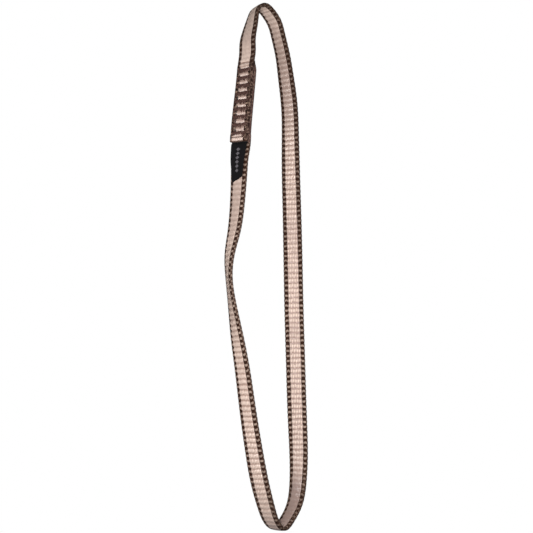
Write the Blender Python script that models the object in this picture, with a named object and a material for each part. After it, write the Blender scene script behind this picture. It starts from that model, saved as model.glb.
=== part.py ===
# A sewn webbing sling: one length of flat polyethylene tape closed into a loop by a lapped, bar-tacked
# joint, with a small label trapped in the mouth of the lap. It hangs from its top bend, in metres, +Z up.
# The origin is the middle of the top bend's inner face, where the sling hangs. The tape's width runs along Y.

import math

import bmesh
import bpy
import numpy as np

# The loop as it hangs, measured on the middle of the tape
loop_height = 0.2918
loop_opening = 0.0578
hanging_seat = 0.0024  # length of the flat patch on the inner face at the top and at the bottom bend

# The tape
webbing_width = 0.011
webbing_thickness = 0.0023
webbing_edge_round = 0.0012  # how far in from the edge its rounding starts
border_width = 0.0021  # brown border on each face, edge included

# The lap, where the tape's two ends lie on each other and are sewn
lap_below_crown = 0.045
lap_blend = 0.012  # length over which a layer moves from the lap back to the middle
lap_end_margin = 0.0006  # bare tape between the inner end and the first bar tack
clearance = 0.0003

# The bar tacks, each a needle thread outside and a bobbin thread inside
tack_count = 9
tack_pitch = 0.0046
tack_height = 0.002
tack_edge_margin = 0.0013  # from the needle hole's middle to the tape's edge
tack_crossings = 9
thread_diameter = 0.0004

# The label and the row of stitching that holds it
label_width = 0.0098
label_thickness = 0.0004
label_length = 0.0222  # its free part, on the longer side
label_slant = 0.0028  # how much shorter the near side is
label_tuck = 0.0034
label_side_shift = 0.0004
label_tack_distance = 0.0005  # from the last bar tack to the tucked end
seam_width = 0.0066
seam_margin = 0.0023  # from the seam to the outer layer's cut end

# Route of the tape's middle, round the loop from the top bend down the lapped strand and up the other.
# Each row: share of the opening to the side, of the tape's width away from the near edge, and of the
# height downwards, then the heading of the tape's width in degrees, from +Y towards +X.
route_shares = [
    (0.000, 0.00, 0.000),
    (-0.092, 0.03, 0.0072),
    (-0.139, 0.05, 0.024),
    (-0.178, 0.05, 0.048),
    (-0.229, 0.03, 0.082),
    (-0.234, 0.01, 0.106),
    (-0.243, 0.00, 0.130),
    (-0.289, 0.00, 0.199),
    (-0.330, 0.02, 0.268),
    (-0.339, 0.07, 0.336),
    (-0.346, 0.15, 0.398),
    (-0.375, 0.23, 0.453),
    (-0.428, 0.27, 0.498),
    (-0.435, 0.27, 0.539),
    (-0.402, 0.23, 0.584),
    (-0.355, 0.14, 0.639),
    (-0.291, 0.05, 0.704),
    (-0.220, 0.00, 0.779),
    (-0.126, 0.00, 0.855),
    (-0.031, 0.00, 0.917),
    (0.056, 0.00, 0.958),
    (0.139, 0.00, 0.986),
    (0.247, 0.00, 1.000),
    (0.382, 0.00, 0.987),
    (0.505, 0.00, 0.9595),
    (0.561, 0.00, 0.917),
    (0.571, 0.00, 0.865),
    (0.550, 0.00, 0.790),
    (0.528, 0.00, 0.697),
    (0.505, 0.00, 0.594),
    (0.490, 0.00, 0.491),
    (0.474, 0.00, 0.391),
    (0.457, 0.00, 0.302),
    (0.4515, 0.00, 0.237),
    (0.434, 0.00, 0.175),
    (0.369, -0.03, 0.120),
    (0.305, -0.05, 0.0755),
    (0.241, -0.05, 0.0446),
    (0.180, -0.05, 0.0215),
    (0.093, -0.03, 0.007),
]
route_headings = [
    16, 20, 17, 7, -2, -5, -4, -8, -12, -3, 6, 15, 29, 40, 35, 18, 6, -1, -8, -12, -8, -3, 2,
    6, 2, -6, -18, -31, -35, -36, -33, -25, -20, -11, -6, 0, 7, 9, 9, 11,
]

# How finely the shapes are divided
route_samples = 2400
segments_per_height = 32
degrees_per_segment = 9
edge_steps = 2
hole_sides = 8
crossing_points = 3
label_rows = 8
hinge_round_degrees = (20, 50)  # where the label's rounded hinge end has its rings
sharp_degrees = 50

thread_radius = thread_diameter / 2
tack_first = lap_end_margin + tack_height / 2
tack_last = tack_first + (tack_count - 1) * tack_pitch
tack_reach = webbing_width / 2 - tack_edge_margin
label_top = tack_last + tack_height / 2 + label_tack_distance
lap_length = label_top + label_tuck
seam_at = lap_length - seam_margin
label_gap = label_thickness + 2 * clearance
hinge_below_lap = clearance + label_thickness / 2


def closed_spline(knots, values, places):
    """A closed cubic spline through values at knots, whose last knot closes it, read at places."""
    values = np.asarray(values, float)
    count = len(values)
    steps = np.diff(knots)
    matrix = np.zeros((count, count))
    slopes = np.zeros(values.shape)
    for i in range(count):
        after = (i + 1) % count
        matrix[i, i - 1] += steps[i - 1]
        matrix[i, i] += 2 * (steps[i - 1] + steps[i])
        matrix[i, after] += steps[i]
        slopes[i] = 6 * ((values[after] - values[i]) / steps[i] - (values[i] - values[i - 1]) / steps[i - 1])
    bends = np.linalg.solve(matrix, slopes)
    places = np.mod(places, knots[-1])
    left = np.clip(np.searchsorted(knots, places, side="right") - 1, 0, count - 1)
    right = (left + 1) % count
    width = steps[left]
    b = (places - knots[left]) / width
    a = 1 - b
    shape = (-1,) + (1,) * (values.ndim - 1)
    width, a, b = width.reshape(shape), a.reshape(shape), b.reshape(shape)
    cubic = (a**3 - a) * bends[left] + (b**3 - b) * bends[right]
    return a * values[left] + b * values[right] + cubic * width**2 / 6


def unit(vectors):
    return vectors / np.linalg.norm(vectors, axis=-1, keepdims=True)


def make_route():
    """Points of the tape's middle with the tape's width and outward directions, evenly spaced round the loop."""
    side, forward, down = np.array(route_shares).T
    corners = np.stack([side * loop_opening, forward * webbing_width, -down * loop_height], axis=1)
    gaps = np.linalg.norm(np.diff(corners, axis=0, append=corners[:1]), axis=1)
    knots = np.concatenate([[0], np.cumsum(gaps)])
    rough = np.linspace(0, knots[-1], route_samples, endpoint=False)
    lengths = np.linalg.norm(np.diff(closed_spline(knots, corners, rough), axis=0, append=corners[:1]), axis=1)
    travelled = np.concatenate([[0], np.cumsum(lengths)])
    distance = np.linspace(0, travelled[-1], route_samples, endpoint=False)
    places = np.interp(distance, travelled, np.append(rough, knots[-1]))
    points = closed_spline(knots, corners, places)
    heading = np.radians(closed_spline(knots, route_headings, places))
    along = unit(np.roll(points, -1, axis=0) - np.roll(points, 1, axis=0))
    across = np.stack([np.sin(heading), np.cos(heading), np.zeros_like(heading)], axis=1)
    across = unit(across - (across * along).sum(axis=1, keepdims=True) * along)
    outward = np.cross(across, along)
    crown = int(np.argmax(points[:, 2]))
    points = points - (points[crown] - outward[crown] * webbing_thickness / 2)
    turned = np.roll(np.arange(route_samples), -crown)
    return {
        "length": travelled[-1],
        "distance": distance,
        "points": points[turned],
        "along": along[turned],
        "across": across[turned],
        "outward": outward[turned],
    }


route = make_route()
foot_distance = route["distance"][int(np.argmin(route["points"][:, 2]))]
tape_length = route["length"] + lap_length


def read_route(key, distance):
    """A route quantity at distances from the top bend, going down the lapped strand."""
    table = route[key]
    columns = [np.interp(distance, route["distance"], table[:, i], period=route["length"]) for i in range(3)]
    return np.stack(columns, axis=-1)


def ease(value):
    """A smooth step from 0 to 1."""
    value = np.clip(value, 0, 1)
    return value * value * (3 - 2 * value)


def layer_gap(place):
    """The gap between the lap's two layers, wider at the mouth, where the label goes in."""
    opening = ease((place - tack_last) / (label_top - clearance - tack_last))
    return clearance + (label_gap - clearance) * opening


def layer_middle(place):
    """How far outward of the route the tape's middle lies, at a place counted from its inner end."""
    lapped = (webbing_thickness + layer_gap(np.minimum(place, lap_length))) / 2
    leaving = 1 - ease((place - lap_length) / lap_blend)
    outer_place = place - route["length"]
    joining = ease(outer_place / lap_blend + 1)
    outer_lapped = (webbing_thickness + layer_gap(np.maximum(outer_place, 0))) / 2
    return joining * outer_lapped - leaving * lapped


def tape_point(place, across, outward):
    """A point beside the route, place counted down the lap from the tape's inner end."""
    place, across, outward = np.broadcast_arrays(*np.atleast_1d(place, across, outward))
    distance = place + lap_below_crown
    return (
        read_route("points", distance)
        + read_route("across", distance) * across[..., None]
        + read_route("outward", distance) * outward[..., None]
    )


def material(name, colour, roughness):
    made = bpy.data.materials.new(name)
    made.use_nodes = True
    shader = made.node_tree.nodes["Principled BSDF"]
    shader.inputs["Base Color"].default_value = (*colour, 1)
    shader.inputs["Roughness"].default_value = roughness
    shader.inputs["Metallic"].default_value = 0
    made.diffuse_color = (*colour, 1)
    return made


def place_object(name, data, origin, materials):
    """Adds an object at its own origin, under the sling's empty."""
    piece = bpy.data.objects.new(name, data)
    piece.location = origin
    piece.parent = sling
    for each in materials:
        data.materials.append(each)
    bpy.context.scene.collection.objects.link(piece)
    return piece


def loft(name, rings, origin, materials, edge_slots=()):
    """One closed body through rings of points, capped at both ends. edge_slots take the second material."""
    count, around = rings.shape[:2]
    corners = [tuple(point) for point in (rings - np.asarray(origin)).reshape(-1, 3)]
    faces = []
    slots = []
    for row in range(count - 1):
        for i in range(around):
            after = (i + 1) % around
            low, high = row * around, (row + 1) * around
            faces.append((low + i, low + after, high + after, high + i))
            slots.append(1 if i in edge_slots else 0)
    for first in (0, (count - 1) * around):
        faces.append(tuple(range(first, first + around)))
        slots.append(0)
    mesh = bpy.data.meshes.new(name)
    mesh.from_pydata(corners, [], faces)
    mesh.polygons.foreach_set("material_index", slots)
    shell = bmesh.new()
    shell.from_mesh(mesh)
    bmesh.ops.recalc_face_normals(shell, faces=shell.faces)
    shell.to_mesh(mesh)
    shell.free()
    mesh.shade_smooth()
    mesh.set_sharp_from_angle(angle=math.radians(sharp_degrees))
    return place_object(name, mesh, origin, materials)


def webbing_section():
    """The tape's section as (across, outward) points: two flat faces joined by rounded edges."""
    flat = webbing_width / 2 - webbing_edge_round
    half = webbing_thickness / 2
    line = webbing_width / 2 - border_width
    points = []
    for side in (1, -1):
        points.append((-side * line, side * half))
        points.append((side * line, side * half))
        for step in range(2 * edge_steps + 1):
            angle = math.pi / 2 * (1 - step / edge_steps)
            points.append((side * (flat + webbing_edge_round * math.cos(angle)), side * half * math.sin(angle)))
    return np.array(points)


def webbing_places():
    """Places of the tape's rings: closer where it bends or twists, and set at the seats and in the lap."""
    fine = np.linspace(0, tape_length, route_samples)
    distance = fine + lap_below_crown
    along, across = read_route("along", distance), read_route("across", distance)
    turn = np.linalg.norm(np.diff(along, axis=0), axis=1) + np.linalg.norm(np.diff(across, axis=0), axis=1)
    need = np.diff(fine) * segments_per_height / loop_height + np.degrees(turn) / degrees_per_segment
    need = np.concatenate([[0], np.cumsum(need)])
    even = np.interp(np.linspace(0, need[-1], int(need[-1]) + 1), need, fine)
    seats = [route["length"] - lap_below_crown, foot_distance - lap_below_crown]
    fixed = [tack_last, label_top - clearance, lap_length]
    fixed += [place + route["length"] for place in fixed[:2]] + [route["length"]]
    for seat in seats:
        even = even[np.abs(even - seat) > hanging_seat]
        fixed += [seat - hanging_seat / 2, seat + hanging_seat / 2]
    for place in fixed:
        even = even[(np.abs(even - place) > tack_height / 2) | (even == 0) | (even == tape_length)]
    return np.sort(np.concatenate([even, fixed])), seats


def make_webbing():
    section = webbing_section()
    places, seats = webbing_places()
    rings = tape_point(places[:, None], section[None, :, 0], section[None, :, 1] + layer_middle(places)[:, None])
    inner_face = section[:, 1] <= -webbing_thickness / 2
    for seat in seats:
        rows = np.abs(places - seat) <= hanging_seat
        rings[np.ix_(rows, inner_face, [2])] = tape_point(seat, 0, -webbing_thickness / 2)[0, 2]
    borders = [i for i in range(len(section)) if i not in (0, len(section) // 2)]
    piece = loft("webbing", rings, (0, 0, 0), (webbing_pale, webbing_brown), borders)
    cut = piece.modifiers.new("needle holes", "BOOLEAN")
    cut.operation = "DIFFERENCE"
    cut.object = needle_holes
    return piece


def make_needle_holes(rows):
    """One cutter for all needle holes, each through both layers at (place, across)."""
    shell = bmesh.new()
    depth = 2 * webbing_thickness + label_gap + 2 * thread_diameter
    for place, reach in rows:
        middle = tape_point(place, reach, 0)[0]
        axes = [read_route(key, place + lap_below_crown) for key in ("along", "across", "outward")]
        ring = []
        for end in (-1, 1):
            angles = np.linspace(0, 2 * math.pi, hole_sides, endpoint=False)
            radius = thread_radius + clearance
            circle = middle + axes[2] * end * depth / 2
            circle = circle + np.outer(np.cos(angles), axes[0]) * radius + np.outer(np.sin(angles), axes[1]) * radius
            ring.append([shell.verts.new(point) for point in circle])
        for i in range(hole_sides):
            after = (i + 1) % hole_sides
            shell.faces.new((ring[0][i], ring[0][after], ring[1][after], ring[1][i]))
        shell.faces.new(ring[0])
        shell.faces.new(ring[1])
    bmesh.ops.recalc_face_normals(shell, faces=shell.faces)
    mesh = bpy.data.meshes.new("needle_holes")
    shell.to_mesh(mesh)
    shell.free()
    cutter = place_object("needle_holes", mesh, (0, 0, 0), ())
    cutter.hide_render = True
    cutter.display_type = "WIRE"
    return cutter


def make_thread(name, path, finish):
    """A thread as a round curve through the points of its path, with closed ends."""
    origin = path.mean(axis=0)
    curve = bpy.data.curves.new(name, "CURVE")
    curve.dimensions = "3D"
    curve.bevel_depth = thread_radius
    curve.bevel_resolution = 1
    curve.use_fill_caps = True
    spline = curve.splines.new("POLY")
    spline.points.add(len(path) - 1)
    ended = np.column_stack([path - origin, np.ones(len(path))])
    spline.points.foreach_set("co", ended.reshape(-1))
    return place_object(name, curve, origin, (finish,))


def stitch_path(place, middle, reach, waves, side):
    """One thread of a stitch row: up out of its first needle hole, across the face in waves, down the last.

    side is 1 for the needle thread on the outer face and -1 for the bobbin thread on the inner face.
    """
    face = layer_gap(place) / 2 + webbing_thickness + clearance + thread_radius
    steps = waves * crossing_points
    share = np.arange(steps + 1) / steps
    across = middle - reach + 2 * reach * share
    wave = side * (tack_height / 2 - thread_radius) * np.sin(math.pi * waves * share) * (waves > 1)
    run = tape_point(place + wave, across, side * face)
    legs = [
        tape_point(place, middle + end * reach, side * np.array([clearance / 2, face - thread_diameter]))
        for end in (-1, 1)
    ]
    return np.concatenate([legs[0], run, legs[1][::-1]])


def make_stitches():
    for number in range(tack_count):
        place = tack_first + number * tack_pitch
        for layer, side in (("needle", 1), ("bobbin", -1)):
            path = stitch_path(place, 0, tack_reach, tack_crossings, side)
            make_thread(f"bar_tack_{number + 1}_{layer}_thread", path, thread_brown)
    for layer, side in (("needle", 1), ("bobbin", -1)):
        path = stitch_path(seam_at, label_side_shift, seam_width / 2, 1, side)
        make_thread(f"label_seam_{layer}_thread", path, thread_brown)


def label_ring(places, half_thickness, slant_share):
    """A label's section at one place, shorter towards the near side by its share of the slant."""
    ring = []
    for side in (1, -1):
        for across_share in (-1, 0, 1):
            across = label_side_shift + side * across_share * label_width / 2
            near_share = (1 - side * across_share) / 2
            place = places - slant_share * label_slant * near_share
            face = layer_middle(np.array(place)) + webbing_thickness / 2 + clearance + label_thickness / 2
            ring.append(tape_point(place, across, face + side * half_thickness)[0])
    return ring


def make_label():
    """The label's sewn end between the layers, and its free flap on the hinge line at the lap's mouth."""
    half = label_thickness / 2
    rings = [label_ring(place, half, 0) for place in np.linspace(label_top, lap_length, label_rows // 2)]
    sewn_end = loft("label_sewn_end", np.array(rings), (0, 0, 0), (label_black,))
    cut = sewn_end.modifiers.new("needle holes", "BOOLEAN")
    cut.operation = "DIFFERENCE"
    cut.object = needle_holes
    hinge_place = lap_length + hinge_below_lap
    rings = []
    for angle in np.radians(hinge_round_degrees):
        rings.append(label_ring(hinge_place - half * math.cos(angle), half * math.sin(angle), 0))
    for share in np.linspace(0, 1, label_rows + 1):
        rings.append(label_ring(hinge_place + share * label_length, half, share))
    hinge = tape_point(
        hinge_place, label_side_shift, layer_middle(np.array(hinge_place)) + webbing_thickness / 2 + clearance + half
    )[0]
    loft("label_flap", np.array(rings), hinge, (label_black,))
    axis = read_route("across", np.array(hinge_place + lap_below_crown))
    return hinge, axis


for old in list(bpy.data.objects):
    bpy.data.objects.remove(old, do_unlink=True)

sling = bpy.data.objects.new("sling", None)
bpy.context.scene.collection.objects.link(sling)
webbing_pale = material("pale polyethylene", (0.62, 0.50, 0.43), 0.55)
webbing_brown = material("brown border", (0.045, 0.022, 0.013), 0.6)
thread_brown = material("brown polyester thread", (0.05, 0.026, 0.018), 0.6)
label_black = material("black label cloth", (0.012, 0.01, 0.012), 0.7)

tack_places = [tack_first + number * tack_pitch for number in range(tack_count)]
hole_rows = [(place, end * tack_reach) for place in tack_places for end in (-1, 1)]
hole_rows += [(seam_at, label_side_shift + end * seam_width / 2) for end in (-1, 1)]
needle_holes = make_needle_holes(hole_rows)
make_webbing()
make_stitches()
hinge_point, hinge_axis = make_label()

print("length round the loop", round(float(route["length"]), 4), "lap", round(lap_length, 4))
print("label hinge at", np.round(hinge_point, 5), "axis", np.round(hinge_axis, 5))
print("foot seat at", np.round(tape_point(foot_distance - lap_below_crown, 0, -webbing_thickness / 2)[0], 5))
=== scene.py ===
# The looks of a hanging sewn sling: one woven polyethylene tape closed by a bar-tacked lap, with a
# small cloth label in the mouth of the lap. Metres, +Z up, origin at the top bend's inner face.

import math

import bpy
import numpy as np
from mathutils import Matrix


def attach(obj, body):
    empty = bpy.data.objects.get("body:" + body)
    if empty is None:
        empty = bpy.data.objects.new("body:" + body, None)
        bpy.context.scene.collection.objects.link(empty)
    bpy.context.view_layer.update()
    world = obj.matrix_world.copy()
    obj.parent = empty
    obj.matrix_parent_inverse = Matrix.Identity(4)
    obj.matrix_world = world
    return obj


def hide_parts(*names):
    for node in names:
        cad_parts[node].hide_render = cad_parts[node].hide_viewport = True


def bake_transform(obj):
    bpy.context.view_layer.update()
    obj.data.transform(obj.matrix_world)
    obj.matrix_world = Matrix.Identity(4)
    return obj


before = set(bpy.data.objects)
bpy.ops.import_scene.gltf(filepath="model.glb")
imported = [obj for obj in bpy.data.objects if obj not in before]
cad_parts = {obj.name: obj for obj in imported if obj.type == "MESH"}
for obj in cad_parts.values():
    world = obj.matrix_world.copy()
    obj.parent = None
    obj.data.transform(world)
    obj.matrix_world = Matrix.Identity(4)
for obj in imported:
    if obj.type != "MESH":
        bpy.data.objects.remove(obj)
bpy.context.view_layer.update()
mm = 0.001

# Camera, lights and the pale room. Angles are degrees, the lens and sensor millimetres, the rest metres.
camera = {
    "azimuth": -52,
    "elevation": -7,
    "distance": 0.520,
    "target": (0.00372, 0.0, -0.14765),
    "lens": 63.2,
    "sensor": 36,
    "nearest": 0.01,  # nothing closer than this is drawn
}
lights = {  # name: azimuth, elevation, distance, width, power in watts
    "keySoftbox": (-58, -8, 0.30, 0.09, 1.24),
    "sideSoftbox": (-80, -4, 0.60, 0.12, 0.60),
    "frontSoftbox": (-42, 3, 0.60, 0.25, 1.0),
    "fillSoftbox": (15, 5, 1.1, 0.8, 1.2),
    "backSoftbox": (96, 5, 1.1, 0.8, 14.0),
    "topSoftbox": (-52, 84, 0.90, 0.4, 2.6),
}
room = {
    "floorDepth": 1.2,
    "radius": 5.0,
    "corners": 96,
    "colour": (0.90, 0.90, 0.91),
    "white": (1, 1, 1, 1),
    "roughness": 0.9,
    "gloss": 0.1,
    "floorSeen": 0.62,  # a glow of the floor that only the camera sees
    "worldLight": 0.06,
    "worldSeen": 1.0,
}


# Stands a camera or light off the target, level and looking at it
def aimAtTarget(thing, azimuth, elevation, distance):
    turn, rise = math.radians(azimuth), math.radians(elevation)
    back = np.array([math.sin(turn) * math.cos(rise), -math.cos(turn) * math.cos(rise), math.sin(rise)])
    side = np.cross([0, 0, 1], back)
    side = side / np.linalg.norm(side)
    up = np.cross(back, side)
    place = np.array(camera["target"]) + distance * back
    thing.matrix_world = Matrix([[side[i], up[i], back[i], place[i]] for i in range(3)] + [[0, 0, 0, 1]])


def addToScene(name, data):
    thing = bpy.data.objects.new(name, data)
    bpy.context.scene.collection.objects.link(thing)
    return thing


def setCamera():
    data = bpy.data.cameras.new("camera")
    data.lens = camera["lens"]
    data.sensor_width = camera["sensor"]
    data.clip_start = camera["nearest"]
    thing = addToScene("camera", data)
    aimAtTarget(thing, camera["azimuth"], camera["elevation"], camera["distance"])
    bpy.context.scene.camera = thing


def setLights():
    for name, (azimuth, elevation, distance, width, power) in lights.items():
        data = bpy.data.lights.new(name, "AREA")
        data.shape = "SQUARE"
        data.size = width
        data.energy = power
        aimAtTarget(addToScene(name, data), azimuth, elevation, distance)


# Node helpers. An input's value is a number, a colour or another node's output.
def setInput(tree, socket, value):
    if isinstance(value, bpy.types.NodeSocket):
        tree.links.new(value, socket)
    else:
        socket.default_value = value


def setInputs(tree, node, values):
    for key, value in values.items():
        setInput(tree, node.inputs[key], value)


def put(tree, kind, inputs=None, **settings):
    node = tree.nodes.new(kind)
    for name, value in settings.items():
        setattr(node, name, value)
    setInputs(tree, node, inputs or {})
    return node


def calc(tree, operation, *values):
    return put(tree, "ShaderNodeMath", dict(enumerate(values)), operation=operation).outputs[0]


def times(tree, first, *others):
    for other in others:
        first = calc(tree, "MULTIPLY", first, other)
    return first


# share * high + (1 - share) * low, for plain numbers low and high
def between(tree, share, low, high):
    return put(tree, "ShaderNodeMath", {0: share, 1: high - low, 2: low}, operation="MULTIPLY_ADD").outputs[0]


# Rises smoothly from 0 at low to 1 at high, or falls where low is the larger
def smoothBand(tree, value, low, high):
    ends = {"Value": value, "From Min": low, "From Max": high}
    return put(tree, "ShaderNodeMapRange", ends, interpolation_type="SMOOTHSTEP").outputs["Result"]


def mixColour(tree, share, first, second):
    node = put(tree, "ShaderNodeMix", data_type="RGBA")
    for index, value in ((0, share), (6, first), (7, second)):
        setInput(tree, node.inputs[index], (*value, 1) if isinstance(value, tuple) else value)
    return node.outputs[2]


def dim(tree, colour, share):
    return put(tree, "ShaderNodeVectorMath", {0: colour, "Scale": share}, operation="SCALE").outputs[0]


def joinXyz(tree, x, y, z=0.0):
    return put(tree, "ShaderNodeCombineXYZ", {"X": x, "Y": y, "Z": z}).outputs[0]


def chanceOf(tree, x, y, z=0.0):
    place = joinXyz(tree, x, y, z)
    return put(tree, "ShaderNodeTexWhiteNoise", {"Vector": place}, noise_dimensions="3D").outputs["Value"]


# |sin(pi * value)|, a row of round ridges one unit apart
def ridges(tree, value):
    return calc(tree, "ABSOLUTE", calc(tree, "SINE", calc(tree, "MULTIPLY", value, math.pi)))


def newGroup(name, inputs, outputs):
    group = bpy.data.node_groups.new(name, "ShaderNodeTree")
    for title in inputs:
        group.interface.new_socket(title, in_out="INPUT", socket_type="NodeSocketFloat")
    for title in outputs:
        group.interface.new_socket(title, in_out="OUTPUT", socket_type="NodeSocketFloat")
    return group, group.nodes.new("NodeGroupInput").outputs, group.nodes.new("NodeGroupOutput").inputs


def newMaterial(name):
    made = bpy.data.materials.new(name)
    made.use_nodes = True
    return made, made.node_tree, made.node_tree.nodes["Principled BSDF"]


def attribute(tree, name):
    return put(tree, "ShaderNodeAttribute", attribute_name=name).outputs["Fac"]


def surfaceAxes(tree):
    uv = put(tree, "ShaderNodeUVMap", uv_map="surface").outputs[0]
    return put(tree, "ShaderNodeSeparateXYZ", {"Vector": uv}).outputs


def bumpNormal(tree, finish, height):
    inputs = {"Strength": finish["bumpStrength"], "Distance": finish["bumpDepth"], "Height": height}
    return put(tree, "ShaderNodeBump", inputs).outputs[0]


# A round pale floor well below the sling, in white surroundings. Both light it less than they show.
def buildRoom():
    made, tree, shader = newMaterial("pale room")
    seen = put(tree, "ShaderNodeLightPath").outputs["Is Camera Ray"]
    looks = {
        "Base Color": (*room["colour"], 1),
        "Roughness": room["roughness"],
        "Specular IOR Level": room["gloss"],
        "Emission Color": room["white"],
        "Emission Strength": times(tree, seen, room["floorSeen"]),
    }
    setInputs(tree, shader, looks)
    turn = np.linspace(0, 2 * math.pi, room["corners"], endpoint=False)
    rim = room["radius"] * np.stack([np.cos(turn), np.sin(turn)], axis=1)
    mesh = bpy.data.meshes.new("floor")
    mesh.from_pydata([(x, y, -room["floorDepth"]) for x, y in rim], [], [range(len(rim))])
    mesh.materials.append(made)
    addToScene("floor", mesh)
    world = bpy.data.worlds.new("pale surroundings")
    world.use_nodes = True
    tree = world.node_tree
    seen = put(tree, "ShaderNodeLightPath").outputs["Is Camera Ray"]
    background = tree.nodes["Background"]
    background.inputs["Color"].default_value = room["white"]
    tree.links.new(between(tree, seen, room["worldLight"], room["worldSeen"]), background.inputs["Strength"])
    bpy.context.scene.world = world
    bpy.context.scene.view_settings.view_transform = "Standard"


setCamera()
setLights()
buildRoom()
print("camera, lights and room set")

# The tape's route round the loop, the same as the model's
loop = {
    "height": 291.8 * mm,
    "opening": 57.8 * mm,
    "width": 11 * mm,
    "thickness": 2.3 * mm,
    "edgeRound": 1.2 * mm,
    "lapBelowCrown": 45.0 * mm,
    "lapBlend": 12 * mm,
    "clearance": 0.3 * mm,
    "samples": 2400,
    # shares of the opening towards +X, of the width towards +Y and of the height downwards, then the
    # heading of the tape's width in degrees, from +Y towards +X
    "route": [
        (0.000, 0.00, 0.000, 16),
        (-0.092, 0.03, 0.0072, 20),
        (-0.139, 0.05, 0.024, 17),
        (-0.178, 0.05, 0.048, 7),
        (-0.229, 0.03, 0.082, -2),
        (-0.234, 0.01, 0.106, -5),
        (-0.243, 0.00, 0.130, -4),
        (-0.289, 0.00, 0.199, -8),
        (-0.330, 0.02, 0.268, -12),
        (-0.339, 0.07, 0.336, -3),
        (-0.346, 0.15, 0.398, 6),
        (-0.375, 0.23, 0.453, 15),
        (-0.428, 0.27, 0.498, 29),
        (-0.435, 0.27, 0.539, 40),
        (-0.402, 0.23, 0.584, 35),
        (-0.355, 0.14, 0.639, 18),
        (-0.291, 0.05, 0.704, 6),
        (-0.220, 0.00, 0.779, -1),
        (-0.126, 0.00, 0.855, -8),
        (-0.031, 0.00, 0.917, -12),
        (0.056, 0.00, 0.958, -8),
        (0.139, 0.00, 0.986, -3),
        (0.247, 0.00, 1.000, 2),
        (0.382, 0.00, 0.987, 6),
        (0.505, 0.00, 0.9595, 2),
        (0.561, 0.00, 0.917, -6),
        (0.571, 0.00, 0.865, -18),
        (0.550, 0.00, 0.790, -31),
        (0.528, 0.00, 0.697, -35),
        (0.505, 0.00, 0.594, -36),
        (0.490, 0.00, 0.491, -33),
        (0.474, 0.00, 0.391, -25),
        (0.457, 0.00, 0.302, -20),
        (0.4515, 0.00, 0.237, -11),
        (0.434, 0.00, 0.175, -6),
        (0.369, -0.03, 0.120, 0),
        (0.305, -0.05, 0.0755, 7),
        (0.241, -0.05, 0.0446, 9),
        (0.180, -0.05, 0.0215, 9),
        (0.093, -0.03, 0.007, 11),
    ],
}
tacks = {
    "count": 9,
    "first": 1.6 * mm,  # place of the first tack, counted down from the tape's inner end
    "pitch": 4.6 * mm,
    "height": 2.0 * mm,
    "reach": 4.2 * mm,
    "crossings": 23,
    "crossing": [  # share of the way across, and rise off the tape
        (0, -0.2 * mm),
        (0.12, 0.22 * mm),
        (0.5, 0.40 * mm),
        (0.88, 0.22 * mm),
    ],
    "crossingSteps": 3,
    "proud": 0.6,  # share of the thread's radius that a crossing is raised by as well
    "topShare": 0.75,  # upper and lower ends of the crossings, as shares of half the height
    "footShare": 0.45,
    "ragged": 2.1 * mm,  # how far a lower end may stray further down
    "topRagged": 0.12,  # share of it that an upper end may stray up
    "seedStep": 10,
    "underPoints": 7,
    "underGap": 0.3 * mm,  # from the tack's middle to each of the straight runs under it
    "thread": 0.4 * mm,
    "sides": 7,
    "askew": (0.3, 0.5, 0.8),  # a direction that no thread starts along
}
label = {
    "width": 9.8 * mm,
    "thickness": 0.4 * mm,
    "tuck": 3.4 * mm,
    "length": 22.2 * mm,
    "slant": 2.8 * mm,
    "shift": 0.4 * mm,
    "tackDistance": 0.5 * mm,
    "seamWidth": 6.6 * mm,
    "seamMargin": 2.3 * mm,
    "seamThread": 0.40 * mm,
    "stitches": 5,
    "stitchLift": (-0.2 * mm, 0.06 * mm, 0.12 * mm, 0.06 * mm),  # rise off the tape along a stitch
    "stitchSteps": 4,
    "rows": 90,
    "columns": 24,  # across each face
    "squareness": (0.35, 0.5),  # powers that square off the section across and through
    "fullness": 0.85,
    "endRound": 60,  # each end is rounded over one part in so many of the length
    "endLeast": 0.05,
    "bulge": 0.9 * mm,
    "bulgePower": 0.35,
    "lean": -1.1 * mm,
    "curl": 1.8 * mm,  # how far the near corner stands off the tape
    "curlPower": 1.5,
    "taper": 0.16,
    "bendAbove": 0.4 * mm,  # places above and below the hinge; the points there are worked out but not used
    "bendBelow": 2.0 * mm,
}


def unit(vectors):
    return vectors / np.linalg.norm(vectors, axis=-1, keepdims=True)


# Closed cubic spline: between two knots a and b the value is the straight mix plus
# (a^3 - a) and (b^3 - b) times the knots' bends, which one linear system makes smooth
def closedSpline(knots, values, places):
    values = np.asarray(values, float)
    count = len(values)
    steps = np.diff(knots)
    before = np.roll(steps, 1)
    rows = np.arange(count)
    matrix = np.zeros((count, count))
    matrix[rows, rows] = 2 * (before + steps)
    matrix[rows, rows - 1] += before
    matrix[rows, (rows + 1) % count] += steps
    shape = (-1,) + (1,) * (values.ndim - 1)
    rise = (np.roll(values, -1, axis=0) - values) / steps.reshape(shape)
    bends = np.linalg.solve(matrix, 6 * (rise - np.roll(rise, 1, axis=0)))
    places = np.mod(places, knots[-1])
    left = np.clip(np.searchsorted(knots, places, side="right") - 1, 0, count - 1)
    right = (left + 1) % count
    width = steps[left]
    b = ((places - knots[left]) / width).reshape(shape)
    a = 1 - b
    cubic = (a**3 - a) * bends[left] + (b**3 - b) * bends[right]
    return a * values[left] + b * values[right] + cubic * width.reshape(shape) ** 2 / 6


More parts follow.
